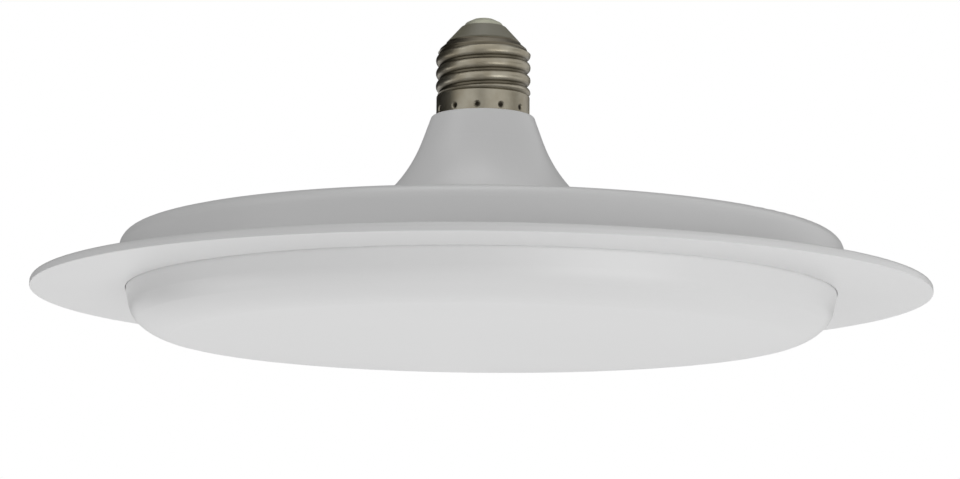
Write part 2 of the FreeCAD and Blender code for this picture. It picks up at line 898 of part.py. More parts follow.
def make_fusible_resistor():
    """Axial resistor that lies across the top of the board, its leads bent down through it."""
    reach = seat_gap + resistor_radius
    centre = front_point(resistor_place, reach)
    along = Vec(resistor_length / 2, 0, 0)
    body = rod(resistor_radius, centre - along, centre + along)
    rims = [edge for edge in body.Edges if edge.BoundBox.XLength < resistor_length / 2]
    parts = [body.makeFillet(resistor_round, rims)]
    for place in lead_places()["resistor"]:
        knee = front_point(place, reach)
        end = driver_point(place, board_face + lead_stub)
        path = Part.Wire(rounded_edges([centre, knee, end], [0, resistor_lead_bend, 0]))
        ring = Part.Wire(Part.makeCircle(lead_radius, centre, knee - centre))
        parts.append(path.makePipeShell([ring], True, True))
    return joined(parts)


def make_filter_choke():
    """Waisted ferrite drum of the choke in the supply line."""
    waist_top = choke_height - choke_flange
    body = turned([
        (0, 0),
        (choke_radius, 0),
        (choke_radius, choke_flange),
        (choke_waist_radius, choke_flange),
        (choke_waist_radius, waist_top),
        (choke_radius, waist_top),
        (choke_radius, choke_height),
        (0, choke_height),
    ])
    return joined([stood_on_board(body, choke_place, seat_gap)] + leads("choke", seat_gap + lead_root))


def ring_between(inner_radius, outer_radius, near, far):
    """Hollow cylinder between two points in front of the driver board."""
    bore = rod(inner_radius, near + BACK, far + FRONT)
    return rod(outer_radius, near, far).cut(bore)


def make_choke_winding():
    """Copper coil round the waist of the drum choke."""
    near = front_point(choke_place, choke_flange + 2 * seat_gap)
    far = front_point(choke_place, choke_height - choke_flange)
    return ring_between(choke_waist_radius + seat_gap, choke_radius - choke_winding_inset, near, far)


def transformer_point(reach):
    """Point on the transformer's centre line, at a reach from the near face of its core."""
    return front_point(transformer_place, bobbin_standoff + reach)


def make_transformer_core():
    """Two E halves of ferrite met as one core: a frame round the coil and a round leg through it."""
    width, height, depth = transformer_core_size
    leg = transformer_core_leg
    half = Vec(width / 2, 0, depth / 2)
    wall = Vec(leg, 0, -cutter_reach)
    frame = block(transformer_point(height) - half, transformer_point(0) + half)
    window = block(transformer_point(height - leg) - half + wall, transformer_point(leg) + half - wall)
    middle = rod(transformer_leg_radius, transformer_point(leg / 2), transformer_point(height - leg / 2))
    return joined([frame.cut(window), middle])


def make_transformer_bobbin():
    """Spool inside the core's window, with its pins down to the board."""
    width, depth = bobbin_flange_size
    inset = transformer_core_leg + seat_gap
    near = transformer_point(inset)
    far = transformer_point(transformer_core_size[1] - inset)
    half = Vec(width / 2, 0, depth / 2)
    thick = Vec(0, bobbin_flange_thickness, 0)
    near_flange = block(near - half - thick, near + half)
    far_flange = block(far - half, far + half + thick)
    bore = rod(transformer_leg_radius + seat_gap, near + BACK, far + FRONT)
    spool = joined([near_flange, far_flange, rod(bobbin_radius, near, far)]).cut(bore)
    return joined([spool] + leads("transformer", bobbin_standoff + inset + bobbin_flange_thickness / 2))


def make_transformer_winding():
    """Taped coil on the bobbin."""
    inset = transformer_core_leg + bobbin_flange_thickness + 2 * seat_gap
    near = transformer_point(inset)
    far = transformer_point(transformer_core_size[1] - inset)
    return ring_between(bobbin_radius + seat_gap, winding_radius, near, far)


def chip(place, size):
    """Block on the back face of the driver board."""
    across, along, height = size
    half = Vec(across / 2, 0, along / 2)
    return block(driver_point(place, board_face) - half, driver_point(place, board_face + height) + half)


def legged_chip(place, size, legs, pitch):
    """Moulded chip with a row of legs along its upper and lower sides."""
    height = size[2]
    leg_width, leg_reach, leg_thickness = chip_leg_size
    body = chip(place, size)
    rim = [edge for edge in body.Edges if edge.BoundBox.YMin > board_face + height / 2]
    parts = [body.makeChamfer(chip_bevel, rim)]
    for index in range(legs):
        leg_place = (place[0] + (index - (legs - 1) / 2) * pitch, place[1])
        parts.append(chip(leg_place, (leg_width, size[1] + 2 * leg_reach, leg_thickness)))
    return joined(parts)


def make_bridge_rectifier():
    return legged_chip(rectifier_place, rectifier_size, rectifier_legs, 2 * chip_leg_pitch)


def make_driver_chip():
    return legged_chip(driver_chip_place, driver_chip_size, driver_chip_legs, chip_leg_pitch)


def make_output_diode():
    return legged_chip(diode_place, diode_size, diode_legs, chip_leg_pitch)


def chip_row(place, count, pitch, size):
    """Row of like chips side by side."""
    return Part.makeCompound([chip((place[0] + index * pitch, place[1]), size) for index in range(count)])


def make_chip_resistors():
    return chip_row(chip_resistor_place, chip_resistor_count, chip_resistor_pitch, chip_resistor_size)


def make_chip_capacitors():
    return chip_row(chip_capacitor_place, chip_capacitor_count, chip_capacitor_pitch, chip_capacitor_size)


def insulated_wire(points):
    """Round wire along straight runs joined by tangent bends."""
    radii = [0] + [lead_wire_bend] * (len(points) - 2) + [0]
    path = Part.Wire(rounded_edges(points, radii))
    ring = Part.Wire(Part.makeCircle(lead_wire_radius, points[0], points[1] - points[0]))
    return path.makePipeShell([ring], True, True)


def make_live_wire():
    """From the rivet of the centre contact to the front of the driver board."""
    start_z = -contact_height - insulator_thickness - rivet_height - seat_gap
    y = -board_face - lead_wire_radius - seat_gap
    x = input_wire_spacing / 2
    return insulated_wire([
        Vec(0, 0, start_z),
        Vec(0, 0, start_z - live_wire_drop),
        Vec(x, y, driver_top_z + input_wire_slope),
        Vec(x, y, driver_top_z - input_wire_overlap),
    ])


def make_neutral_wire():
    """From the inner wall of the screw shell over the spigot's rim to the driver board."""
    wall_x = shell_sheet + lead_wire_radius + seat_gap - thread_root_radius
    y = -board_face - lead_wire_radius - seat_gap
    x = -input_wire_spacing / 2
    rim_z = shell_rim_z + spigot_height
    return insulated_wire([
        Vec(wall_x, 0, rim_z + neutral_wire_rise),
        Vec(wall_x, 0, rim_z + neutral_wire_clearance),
        Vec(x, y, rim_z + neutral_wire_slope),
        Vec(x, y, driver_top_z - input_wire_overlap),
    ])


def output_wire(side):
    """From the back of the driver board through the pan and the LED board to the connector."""
    face_y = board_face + lead_wire_radius + seat_gap
    x = side * output_wire_spacing / 2
    entry_y = side * connector_hole_spacing / 2
    hole_x = x + output_wire_offset
    end_x = connector_start + connector_hole_depth - output_wire_end_gap
    return insulated_wire([
        Vec(x, face_y, driver_bottom_z + output_wire_overlap),
        Vec(x, face_y, driver_bottom_z - output_wire_overlap),
        Vec(hole_x, entry_y, spreader_top_z + output_wire_slope),
        Vec(hole_x, entry_y, connector_wire_z()),
        Vec(end_x, entry_y, connector_wire_z()),
    ])


def make_positive_wire():
    return output_wire(1)


def make_negative_wire():
    return output_wire(-1)


os.makedirs("parts", exist_ok=True)
makers = {
    "screw_shell": make_screw_shell,
    "cap_insulator": make_cap_insulator,
    "centre_contact": make_centre_contact,
    "neck_housing": make_neck_housing,
    "neck_screws": make_neck_screws,
    "back_pan": make_back_pan,
    "heat_spreader": make_heat_spreader,
    "led_board": make_led_board,
    "led_packages": make_led_packages,
    "board_screws": make_board_screws,
    "wire_connector": make_wire_connector,
    "diffuser": make_diffuser,
    "driver_board": make_driver_board,
    "bridge_rectifier": make_bridge_rectifier,
    "bulk_capacitor": make_bulk_capacitor,
    "output_capacitor": make_output_capacitor,
    "film_capacitor": make_film_capacitor,
    "varistor": make_varistor,
    "fusible_resistor": make_fusible_resistor,
    "filter_choke": make_filter_choke,
    "choke_winding": make_choke_winding,
    "transformer_core": make_transformer_core,
    "transformer_bobbin": make_transformer_bobbin,
    "transformer_winding": make_transformer_winding,
    "driver_chip": make_driver_chip,
    "output_diode": make_output_diode,
    "chip_resistors": make_chip_resistors,
    "chip_capacitors": make_chip_capacitors,
    "live_wire": make_live_wire,
    "neutral_wire": make_neutral_wire,
    "positive_wire": make_positive_wire,
    "negative_wire": make_negative_wire,
}
for name, make in makers.items():
    save(name, make())
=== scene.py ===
import math

import bmesh
import bpy
from mathutils import Matrix, Vector


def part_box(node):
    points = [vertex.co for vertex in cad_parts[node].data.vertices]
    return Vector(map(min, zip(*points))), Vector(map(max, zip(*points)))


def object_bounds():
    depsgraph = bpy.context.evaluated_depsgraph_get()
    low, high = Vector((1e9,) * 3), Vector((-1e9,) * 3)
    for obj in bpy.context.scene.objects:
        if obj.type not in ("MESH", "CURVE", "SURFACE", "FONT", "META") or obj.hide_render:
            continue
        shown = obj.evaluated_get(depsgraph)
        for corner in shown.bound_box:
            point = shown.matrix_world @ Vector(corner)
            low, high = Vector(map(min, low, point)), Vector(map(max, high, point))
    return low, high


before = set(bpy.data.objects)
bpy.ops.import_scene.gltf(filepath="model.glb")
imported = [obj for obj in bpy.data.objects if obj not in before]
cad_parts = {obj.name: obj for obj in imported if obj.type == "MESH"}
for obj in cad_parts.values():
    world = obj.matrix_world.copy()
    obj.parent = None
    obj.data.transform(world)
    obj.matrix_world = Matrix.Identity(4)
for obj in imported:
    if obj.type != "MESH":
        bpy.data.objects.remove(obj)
cad_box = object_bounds()


# Screw shell: the threaded sleeve of the cap.
# It is deep-drawn from thin sheet, nickel plated, and its thread is rolled in.
# Twelve punched dimples near the rim lock it to the neck. Their hollows are painted near black as
# shade, and the grooves are painted darker as shade with some grime.


class Value:
    """One output in a finish's node tree. Arithmetic on it adds Math nodes."""

    def __init__(self, finish, output):
        self.finish = finish
        self.output = output

    def __add__(self, other):
        return self.finish.with_math("ADD", self, other)

    def __sub__(self, other):
        return self.finish.with_math("SUBTRACT", self, other)

    def __mul__(self, other):
        return self.finish.with_math("MULTIPLY", self, other)

    def __pow__(self, other):
        return self.finish.with_math("POWER", self, other)

    def __abs__(self):
        return self.finish.with_math("ABSOLUTE", self, 0.0)

    def __radd__(self, other):
        return self.finish.with_math("ADD", other, self)

    def __rsub__(self, other):
        return self.finish.with_math("SUBTRACT", other, self)

    def __rmul__(self, other):
        return self.finish.with_math("MULTIPLY", other, self)


class Finish:
    """A finish in the making: one material, its Principled shader, and ways to add nodes to it."""

    def __init__(self, name, **constants):
        self.material = bpy.data.materials.new(name)
        self.material.use_nodes = True
        self.tree = self.material.node_tree
        self.shader = self.tree.nodes["Principled BSDF"]
        for socket, value in constants.items():
            self.shader.inputs[socket.replace("_", " ")].default_value = value

    def add(self, kind, settings=None, inputs=None):
        """Adds a node: its settings first, then the values or links of its sockets."""
        node = self.tree.nodes.new(kind)
        for name, value in (settings or {}).items():
            setattr(node, name, value)
        for name, value in (inputs or {}).items():
            if isinstance(value, Value):
                self.tree.links.new(value.output, node.inputs[name])
            else:
                node.inputs[name].default_value = value
        return [Value(self, output) for output in node.outputs]

    def with_math(self, operation, first, second):
        """One Math node on two values or numbers."""
        return self.add("ShaderNodeMath", {"operation": operation}, {0: first, 1: second})[0]

    def feed(self, socket, value):
        """Feeds a socket of the shader."""
        self.tree.links.new(value.output, self.shader.inputs[socket])

    def place(self):
        """The point on the object, as a vector."""
        return self.add("ShaderNodeTexCoord")[3]

    def axes(self):
        """The point on the object, as its three distances."""
        return self.add("ShaderNodeSeparateXYZ", None, {0: self.place()})

    def off_axis(self):
        """Distance from the lamp's axis."""
        x, y, z = self.axes()
        return (x * x + y * y) ** 0.5

    def stretched(self, x, y, z):
        """The point with each distance scaled, for grain that runs one way."""
        inputs = {0: self.place(), 1: (x, y, z)}
        return self.add("ShaderNodeVectorMath", {"operation": "MULTIPLY"}, inputs)[0]

    def noise(self, scale, detail=3.0, at=None):
        """Cloudy pattern from 0 to 1. The scale counts clouds in a metre."""
        inputs = {"Vector": at or self.place(), "Scale": scale, "Detail": detail}
        return self.add("ShaderNodeTexNoise", None, inputs)[0]

    def between(self, value, low, high):
        """0 below the low limit, 1 above the high one, and smooth between them."""
        inputs = {0: value, 1: low, 2: high, 3: 0.0, 4: 1.0}
        return self.add("ShaderNodeMapRange", {"interpolation_type": "SMOOTHSTEP"}, inputs)[0]

    def mixed(self, share, first, second):
        """One colour turning into another."""
        inputs = {0: share, 6: first, 7: second}
        return self.add("ShaderNodeMix", {"data_type": "RGBA"}, inputs)[2]

    def tinned(self, mask, body_colour, body_roughness):
        """A body with tinned metal where the mask is 1."""
        self.feed("Base Color", self.mixed(mask, body_colour, (0.62, 0.62, 0.60, 1)))
        self.feed("Metallic", mask)
        self.feed("Roughness", body_roughness + (0.32 - body_roughness) * mask)

    def bumped(self, height, depth):
        """Relief of that depth in metres."""
        inputs = {"Strength": 1.0, "Distance": depth, "Height": height}
        self.feed("Normal", self.add("ShaderNodeBump", None, inputs)[0])


def coat(finish, *nodes):
    """Gives CAD nodes a finish."""
    for name in nodes:
        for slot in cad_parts[name].material_slots:
            slot.material = finish.material


GROOVE_RADIUS = 0.0122
CREST_RADIUS = 0.0131
PUNCHED_DEEP = 0.0125
PUNCHED_SHALLOW = 0.01278
PUNCHED_ROW = 0.0032
PUNCHED_ROW_END = 0.0036
nickel = Finish("nickel_plate", Metallic=1.0)
drawn_lines = nickel.noise(1.0, 4.0, nickel.stretched(60, 60, 5200))
tarnish = nickel.noise(95.0, 5.0)
worn = nickel.between(tarnish, 0.36, 0.64)
plated = nickel.mixed(worn, (0.38, 0.355, 0.29, 1), (0.27, 0.24, 0.18, 1))
# Painted shade with some grime: the thread's roots are coloured darker than its crests.
crest = nickel.between(nickel.off_axis(), GROOVE_RADIUS, CREST_RADIUS)
groove_shade_and_grime = nickel.mixed(crest, (0.13, 0.115, 0.085, 1), plated)
shell_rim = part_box("screw_shell")[0].z
near_rim = 1 - nickel.between(
    nickel.axes()[2], shell_rim + PUNCHED_ROW, shell_rim + PUNCHED_ROW_END
)
# Painted shade: the dimples' hollows near the rim are coloured near black.
dimple_shade = near_rim * (1 - nickel.between(nickel.off_axis(), PUNCHED_DEEP, PUNCHED_SHALLOW))
nickel.feed("Base Color", nickel.mixed(dimple_shade, groove_shade_and_grime, (0.02, 0.017, 0.012, 1)))
nickel.feed("Roughness", 0.24 + 0.16 * tarnish + 0.1 * drawn_lines)
nickel.bumped(drawn_lines, 0.00001)
coat(nickel, "screw_shell")


# Cap insulator: the cone that keeps the shell and the tip contact apart.
# It is moulded from grey heat-proof plastic, and the shell's mouth closes on its rim.

insulator = Finish("insulator_grey", Roughness=0.45)
insulator_cloud = insulator.noise(160.0)
insulator.feed(
    "Base Color",
    insulator.mixed(insulator_cloud, (0.15, 0.14, 0.10, 1), (0.19, 0.18, 0.13, 1)),
)
insulator.bumped(insulator.noise(1800.0), 0.00001)
coat(insulator, "cap_insulator")


# Centre contact: the domed button at the very tip.
# It is pressed from nickel-plated brass and riveted through the insulator.

contact = Finish("contact_nickel", Metallic=0.7)
contact_wear = contact.noise(240.0, 4.0)
contact.feed(
    "Base Color",
    contact.mixed(contact_wear, (0.38, 0.38, 0.30, 1), (0.47, 0.47, 0.38, 1)),
)
contact.feed("Roughness", 0.5 + 0.16 * contact_wear)
coat(contact, "centre_contact")


# Neck and pan: the collar with its trumpet flare, and the round pan with its wide thin brim.
# Each is one moulding in white flame-proof plastic, with a fine satin skin from the mould.

white = Finish("white_plastic", Roughness=0.36)
white_cloud = white.noise(28.0, 2.0)
white.feed(
    "Base Color",
    white.mixed(white_cloud, (0.79, 0.79, 0.79, 1), (0.82, 0.82, 0.82, 1)),
)
white.bumped(white.noise(1500.0, 2.0), 0.000006)
coat(white, "neck_housing", "back_pan")


# Screws: four hold the pan to the neck, and six hold the LED board and its plate to the pan.
# Cold-headed steel, zinc plated, with a cross recess and a self-tapping point.

zinc = Finish("zinc_plate", Metallic=1.0)
zinc_cloud = zinc.noise(900.0, 4.0)
zinc.feed("Base Color", zinc.mixed(zinc_cloud, (0.58, 0.59, 0.60, 1), (0.72, 0.73, 0.75, 1)))
zinc.feed("Roughness", 0.24 + 0.2 * zinc_cloud)
coat(zinc, "neck_screws", "board_screws")


# Heat spreader: the plate that backs the LED board and carries its heat to the pan.
# Pressed from rolled aluminium sheet, so it keeps the fine straight lines of the mill.

plate = Finish("spreader_aluminium", Metallic=1.0)
mill_lines = plate.noise(1.0, 4.0, plate.stretched(4200, 30, 30))
plate.feed("Base Color", plate.mixed(mill_lines, (0.70, 0.71, 0.72, 1), (0.82, 0.83, 0.84, 1)))
plate.feed("Roughness", 0.28 + 0.22 * mill_lines)
plate.bumped(mill_lines, 0.000006)
coat(plate, "heat_spreader")


# LED board: one round aluminium-cored board behind the diffuser.
# White solder mask, a little raised over the copper that runs in rings with the LEDs.

BAND_SPACING = 0.0088
GAP_EDGE = 0.0012
BAND_EDGE = 0.0016
mask_white = Finish("board_white")
from_gap = mask_white.with_math("PINGPONG", mask_white.off_axis(), BAND_SPACING)
copper_bands = mask_white.between(from_gap, GAP_EDGE, BAND_EDGE)
mask_cloud = mask_white.noise(70.0)
mask_white.feed(
    "Base Color", mask_white.mixed(copper_bands, (0.86, 0.86, 0.83, 1), (0.80, 0.79, 0.74, 1))
)
mask_white.feed("Roughness", 0.34 + 0.12 * mask_cloud)
mask_white.bumped(copper_bands, 0.00003)
coat(mask_white, "led_board")


# LEDs: small white packages soldered to the board in rings.
# Each is a moulded white cup filled level with yellow phosphor gel, which faces the diffuser.

GEL_EDGE = 0.00005
CUP_EDGE = 0.00012
gel = Finish("led_lens")
led_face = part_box("led_packages")[0].z
led_side = gel.between(gel.axes()[2], led_face + GEL_EDGE, led_face + CUP_EDGE)
gel_cloud = gel.noise(2400.0)
gel_yellow = gel.mixed(gel_cloud, (0.86, 0.66, 0.10, 1), (0.92, 0.76, 0.18, 1))
gel.feed("Base Color", gel.mixed(led_side, gel_yellow, (0.85, 0.85, 0.83, 1)))
gel.feed("Roughness", 0.16 + 0.3 * led_side)
coat(gel, "led_packages")


# Wire connector: the push-in terminal on the LED board.
# Moulded in off-white heat-proof nylon, which comes out of the mould a little mottled.

nylon = Finish("connector_plastic", Roughness=0.42)
nylon_cloud = nylon.noise(700.0)
nylon.feed("Base Color", nylon.mixed(nylon_cloud, (0.80, 0.78, 0.71, 1), (0.86, 0.85, 0.79, 1)))
nylon.bumped(nylon.noise(5200.0), 0.000008)
coat(nylon, "wire_connector")


# Diffuser: the shallow bowl in front of the LEDs.
# Injection moulded in opal plastic, so light passes but nothing shows through.

opal = Finish("opal_plastic", Roughness=0.38)
opal_cloud = opal.noise(12.0, 2.0)
opal.feed(
    "Base Color",
    opal.mixed(opal_cloud, (0.81, 0.81, 0.81, 1), (0.83, 0.83, 0.83, 1)),
)
coat(opal, "diffuser")


# Driver board: the glass-fibre board that stands upright in the neck.
# Green solder mask over copper tracks, with the weave of the laminate just showing.

TRACKS_IN_A_METRE = 330.0
laminate = Finish("board_laminate")
track_cells = laminate.add(
    "ShaderNodeTexVoronoi",
    {"distance": "CHEBYCHEV", "feature": "F1"},
    {"Vector": laminate.place(), "Scale": TRACKS_IN_A_METRE, "Randomness": 0.6},
)[0]
tracks = laminate.between(track_cells, 0.42, 0.46)
weave = laminate.noise(1.0, 2.0, laminate.stretched(2600, 900, 2600))
laminate.feed(
    "Base Color", laminate.mixed(tracks, (0.025, 0.13, 0.05, 1), (0.05, 0.24, 0.09, 1))
)
laminate.feed("Roughness", 0.3 + 0.14 * weave)
laminate.bumped(tracks, 0.00003)
coat(laminate, "driver_board")
board_low, board_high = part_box("driver_board")


# Moulded chips on the back of the driver board: bridge rectifier, driver chip and diode.
# Black epoxy bodies on short tinned legs that lie on the board.

LEG_RISE = 0.00025
LEG_BLEND = 0.00005
epoxy = Finish("chip_black")
epoxy_grain = epoxy.noise(5000.0, 2.0)
epoxy_body = epoxy.mixed(epoxy_grain, (0.016, 0.016, 0.018, 1), (0.035, 0.035, 0.038, 1))
legs_end = board_high.y + LEG_RISE
over_legs = epoxy.between(epoxy.axes()[1], legs_end, legs_end + LEG_BLEND)
epoxy.tinned(1 - over_legs, epoxy_body, 0.55)
epoxy.bumped(epoxy_grain, 0.000012)
coat(epoxy, "bridge_rectifier", "driver_chip", "output_diode")


# Electrolytic cans: the bulk capacitor on the mains side, the output capacitor by the choke.
# Aluminium in a shrunk black sleeve with a grey stripe, on a rubber seal with two tinned leads.

STRIPE_HALF_WIDTH = 0.0009
STRIPE_END = 0.00099
SLEEVE_LAP = 0.0011
SLEEVE_LIP = 0.00099
END_FACE = 0.0001
LEAD_START = 0.0001
for can_name in ("bulk_capacitor", "output_capacitor"):
    can_low, can_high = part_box(can_name)
    can_x = (can_low.x + can_high.x) / 2
    can_z = (can_low.z + can_high.z) / 2
    can_radius = (can_high.x - can_low.x) / 2
    sleeve = Finish(can_name + "_sleeve")
    across, along, upward = sleeve.axes()
    shrink = sleeve.noise(420.0)
    stripe = 1 - sleeve.between(abs(across - can_x), STRIPE_HALF_WIDTH, STRIPE_END)
    sleeved = sleeve.mixed(stripe, (0.022, 0.022, 0.03, 1), (0.34, 0.34, 0.35, 1))
    from_middle = ((across - can_x) ** 2 + (upward - can_z) ** 2) ** 0.5
    under_lap = sleeve.between(from_middle, can_radius - SLEEVE_LAP, can_radius - SLEEVE_LIP)
    off_end = sleeve.between(along, can_low.y + END_FACE, can_low.y + 2 * END_FACE)
    bare_end = (1 - under_lap) * (1 - off_end)
    lead_end = sleeve.between(along, board_low.y - LEAD_START, board_low.y)
    bare = sleeve.with_math("MAXIMUM", bare_end, lead_end)
    sleeve.tinned(bare, sleeved, 0.3)
    sleeve.bumped(shrink, 0.00002)
    coat(sleeve, can_name)


# Film capacitor: the yellow box across the mains.
# A moulded case filled with resin, on two tinned leads.

film = Finish("film_yellow")
film_cloud = film.noise(900.0)
film_box = film.mixed(film_cloud, (0.66, 0.44, 0.04, 1), (0.74, 0.52, 0.07, 1))
film_leads = film.between(film.axes()[1], board_low.y - LEAD_START, board_low.y)
film.tinned(film_leads, film_box, 0.38)
film.bumped(film.noise(4200.0), 0.00001)
coat(film, "film_capacitor")


# Varistor: the disc that clips surges from the mains.
# A zinc-oxide disc dipped in blue epoxy, which runs a little way down its leads.

DIP_END = 0.0007
dipped = Finish("varistor_blue")
dip_cloud = dipped.noise(600.0, 4.0)
dip = dipped.mixed(dip_cloud, (0.03, 0.09, 0.33, 1), (0.05, 0.13, 0.42, 1))
bare_leads = dipped.between(dipped.axes()[1], board_low.y - DIP_END, board_low.y)
dipped.tinned(bare_leads, dip, 0.34)
dipped.bumped(dip_cloud, 0.00012)
coat(dipped, "varistor")


# Fusible resistor: the first part that the mains reaches.
# A wound rod in grey-green cement, with painted bands, and leads bent down to the board.

BAND_HALF_WIDTH = 0.00027
BAND_END = 0.000324
ROD_END = 0.0033
ROD_LEAD = 0.0034
cement = Finish("resistor_coat")
along_rod = cement.axes()[0]
rod_colour = cement.mixed(cement.noise(1500.0), (0.20, 0.27, 0.18, 1), (0.25, 0.33, 0.22, 1))
for band_place, band_colour in (
    (-0.0020, (0.22, 0.07, 0.02, 1)),
    (-0.0010, (0.02, 0.02, 0.02, 1)),
    (0.0000, (0.02, 0.02, 0.02, 1)),
    (0.0018, (0.52, 0.36, 0.08, 1)),
):
    band = 1 - cement.between(abs(along_rod - band_place), BAND_HALF_WIDTH, BAND_END)
    rod_colour = cement.mixed(band, rod_colour, band_colour)
cement.tinned(cement.between(abs(along_rod), ROD_END, ROD_LEAD), rod_colour, 0.6)
cement.bumped(cement.noise(3200.0), 0.00003)
coat(cement, "fusible_resistor")


# Ferrite: the drum of the input choke and the core of the transformer.
# Pressed and fired iron oxide, dark grey and finely pitted.

ferrite = Finish("ferrite_grey", Roughness=0.66)
pits = ferrite.noise(6500.0, 2.0)
ferrite.feed(
    "Base Color", ferrite.mixed(pits, (0.045, 0.043, 0.042, 1), (0.085, 0.082, 0.08, 1))
)
ferrite.bumped(pits, 0.00004)
coat(ferrite, "filter_choke", "transformer_core")


# Choke coil: enamelled copper wire wound side by side on the drum.
# Each turn shows as a round ridge, with a warm lacquer shine; its colour carries painted shade
# between turns and a painted highlight along each ridge.

TURNS_IN_A_METRE = 3200.0
enamel = Finish("copper_enamel", Metallic=1.0)
turn_ridge_and_shade = enamel.with_math("PINGPONG", enamel.axes()[1] * TURNS_IN_A_METRE, 0.5)
# Painted shade and highlight: dark copper at the gaps between turns, bright copper along each
# ridge.
enamel.feed("Base Color", enamel.mixed(turn_ridge_and_shade * 2, (0.30, 0.10, 0.03, 1), (0.72, 0.33, 0.14, 1)))
enamel.feed("Roughness", 0.42 - 0.3 * turn_ridge_and_shade)
enamel.bumped(turn_ridge_and_shade, 0.00012)
coat(enamel, "choke_winding")


# Transformer bobbin: two square flanges on a tube, with the pins that go into the board.
# Moulded in black phenolic resin, and the pins are tinned.

FLANGE_END = 0.0008
PIN_START = 0.0007
phenolic = Finish("bobbin_plastic")
phenolic_grain = phenolic.noise(3000.0)
phenolic_black = phenolic.mixed(
    phenolic_grain, (0.02, 0.018, 0.017, 1), (0.045, 0.042, 0.04, 1)
)
pins = phenolic.between(phenolic.axes()[1], board_low.y - FLANGE_END, board_low.y - PIN_START)
phenolic.tinned(pins, phenolic_black, 0.4)
phenolic.bumped(phenolic_grain, 0.000012)
coat(phenolic, "transformer_bobbin")


# Transformer coil: the windings under a wrap of insulating tape.
# Yellow polyester tape, whose layers overlap in shallow steps.

LAPS_IN_A_METRE = 900.0
tape = Finish("winding_tape", Roughness=0.3)
laps = tape.with_math("PINGPONG", tape.axes()[1] * LAPS_IN_A_METRE, 0.5)
tape.feed("Base Color", tape.mixed(laps * 2, (0.66, 0.48, 0.06, 1), (0.78, 0.62, 0.12, 1)))
tape.bumped(laps, 0.00006)
coat(tape, "transformer_winding")


# Chip resistors and chip capacitors on the back of the driver board.
# Fired ceramic blocks, black on the resistors and tan on the capacitors, with tinned ends.

for chip_name, chip_half_length, fired in (
    ("chip_resistors", 0.0010, (0.022, 0.022, 0.024, 1)),
    ("chip_capacitors", 0.0016, (0.36, 0.26, 0.16, 1)),
):
    chip_low, chip_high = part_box(chip_name)
    chip_middle = (chip_low.z + chip_high.z) / 2
    ceramic = Finish(chip_name + "_ceramic")
    from_chip_middle = abs(ceramic.axes()[2] - chip_middle)
    chip_cloud = ceramic.noise(2600.0)
    fired_pale = tuple(share * 1.25 for share in fired[:3]) + (1,)
    chip_colour = ceramic.mixed(chip_cloud, fired, fired_pale)
    ends = ceramic.between(from_chip_middle, chip_half_length * 0.66, chip_half_length * 0.7)
    ceramic.tinned(ends, chip_colour, 0.4)
    coat(ceramic, chip_name)


# Wires: tip to driver, shell to driver, and the pair from the driver to the LED board.
# Stranded copper in soft silicone insulation, slightly powdery to the touch.

for wire_name, dyed in (
    ("live_wire", (0.42, 0.02, 0.015, 1)),
    ("neutral_wire", (0.03, 0.07, 0.38, 1)),
    ("positive_wire", (0.42, 0.02, 0.015, 1)),
    ("negative_wire", (0.02, 0.02, 0.02, 1)),
):
    silicone = Finish(wire_name + "_silicone")
    powder = silicone.noise(1800.0)
    rubbed = tuple(share * 1.3 + 0.01 for share in dyed[:3]) + (1,)
    silicone.feed("Base Color", silicone.mixed(powder, dyed, rubbed))
    silicone.feed("Roughness", 0.46 + 0.16 * powder)
    silicone.bumped(powder, 0.00001)
    coat(silicone, wire_name)


# Camera: it sees the lamp from the photo's place, a hand's width under the bowl and tipped up.
# Its small turn and roll are the photo's.

CAMERA_DISTANCE = 0.8
CAMERA_LEVEL = -0.1808
TIPPED_UP = 0.1475
TURNED = 0.0006
ROLLED = 0.0091
camera_data = bpy.data.cameras.new("camera")
camera_data.sensor_width = 36.0
camera_data.lens = 110.11
camera_data.clip_start = 0.01
camera_data.clip_end = 50.0
camera = bpy.data.objects.new("camera", camera_data)
bpy.context.scene.collection.objects.link(camera)
camera.matrix_world = (
    Matrix.Translation((0.0, -CAMERA_DISTANCE, CAMERA_LEVEL))
    @ Matrix.Rotation(TURNED, 4, "Z")
    @ Matrix.Rotation(math.pi / 2 + TIPPED_UP, 4, "X")
    @ Matrix.Rotation(ROLLED, 4, "Z")
)
bpy.context.scene.camera = camera


# Floor: a pale sheet just under the bowl, which only the camera sees.
# It keeps the lamp's shadow, fades to white a little way off, and is clear from below.

FLOOR_GAP = 0.0005
FLOOR_RADIUS = 8.0
FADE_START = 0.14
FADE_END = 0.6
FLOOR_LEVEL = cad_box[0].z - FLOOR_GAP
floor_mesh = bmesh.new()
bmesh.ops.create_circle(floor_mesh, cap_ends=True, segments=96, radius=FLOOR_RADIUS)
bmesh.ops.translate(floor_mesh, verts=floor_mesh.verts, vec=(0, 0, FLOOR_LEVEL))
floor_data = bpy.data.meshes.new("floor")
floor_mesh.to_mesh(floor_data)
floor_mesh.free()
floor = bpy.data.objects.new("floor", floor_data)
floor.visible_diffuse = False
floor.visible_glossy = False
floor.visible_transmission = False
floor.visible_shadow = False
bpy.context.scene.collection.objects.link(floor)

